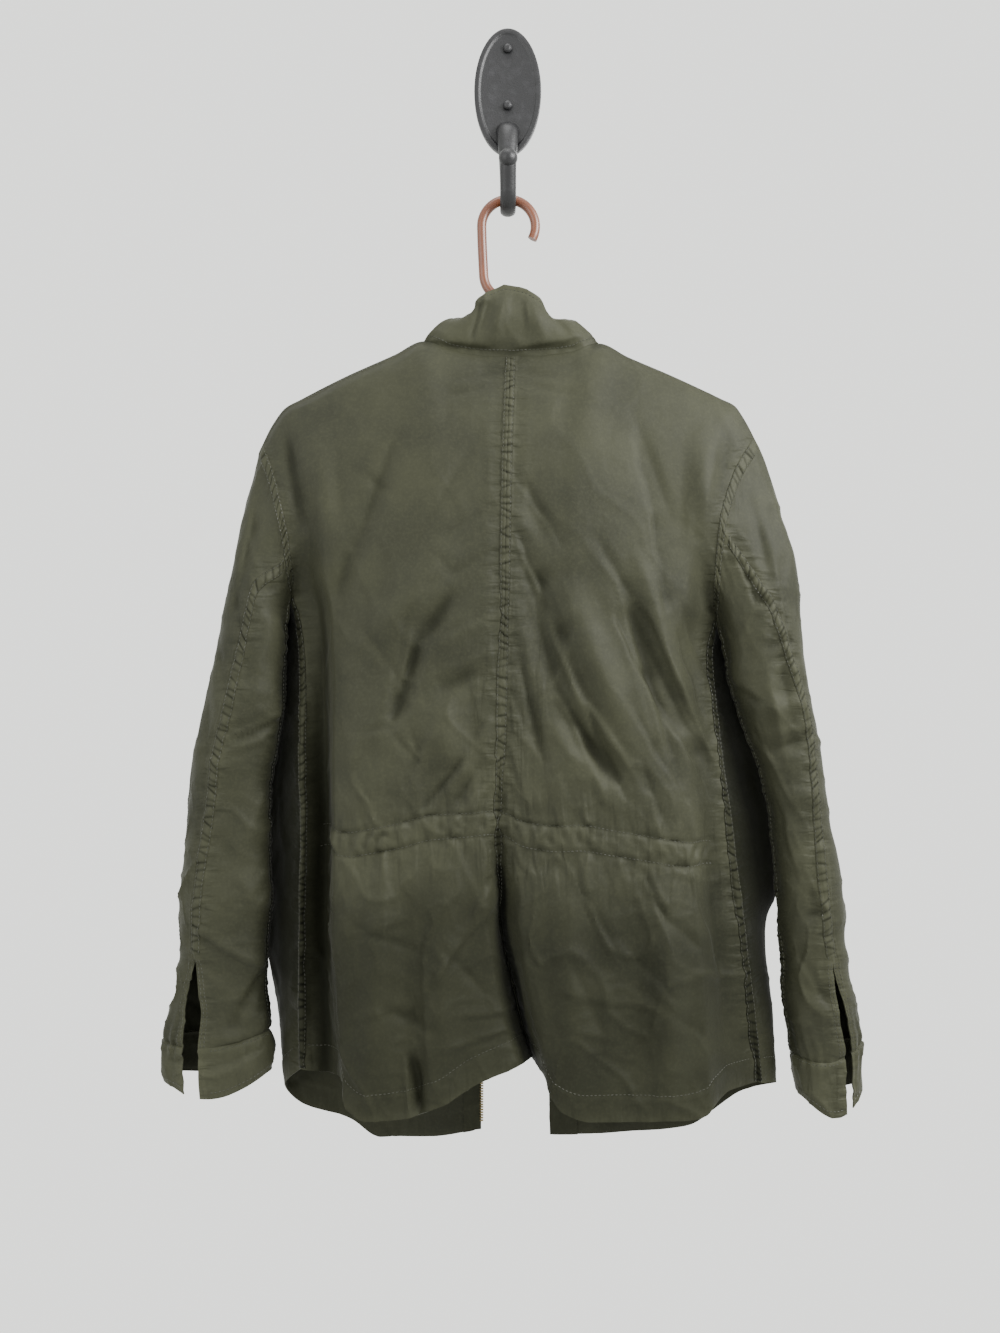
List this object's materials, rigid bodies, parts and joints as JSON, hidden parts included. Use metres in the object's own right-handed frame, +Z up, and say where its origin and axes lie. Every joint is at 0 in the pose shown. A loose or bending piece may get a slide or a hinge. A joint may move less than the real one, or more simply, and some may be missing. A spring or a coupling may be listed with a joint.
{
  "type": "utility jacket on a tubular hanger and wall hook",
  "caption": "Soft unlined stand-collar utility jacket with drawn-in waist and vented cuffs, hung open and seen from its back, on a tubular plastic hanger and a cast wall hook",
  "frame": {"origin": "on the flat rear face of the wall plate, on its centre line, just above the root of the hook's arm; this is the mount wall_plate", "axes": "+Y points into the wall, out of the plate's flat rear face; +Z is up, the way the garment hangs; +X runs to the wearer's right, so the garment's back faces -Y"},
  "size_m": [0.663, 0.1234, 1.0868],
  "materials": {
    "shell_cloth": "washed, slightly satiny cotton and nylon cloth, olive drab",
    "tape": "matt woven tape, darker olive",
    "hanger_plastic": "clear amber tube",
    "iron": "black, lightly worn"
  },
  "bodies": {
    "root": {"back_left": "shell_cloth", "back_right": "shell_cloth", "front_left": "shell_cloth", "front_right": "shell_cloth", "collar": "shell_cloth", "sleeve_upper_left": "shell_cloth", "sleeve_under_left": "shell_cloth", "sleeve_upper_right": "shell_cloth", "sleeve_under_right": "shell_cloth", "cuff_left": "shell_cloth", "cuff_right": "shell_cloth", "waist_casing_left": "tape", "waist_casing_right": "tape", "zip_tape_left": "tape", "placket_right": "shell_cloth", "hanger": "hanger_plastic", "wall_hook": "iron", "screw_top": "iron", "screw_low": "iron"}
  },
  "joints": []
}
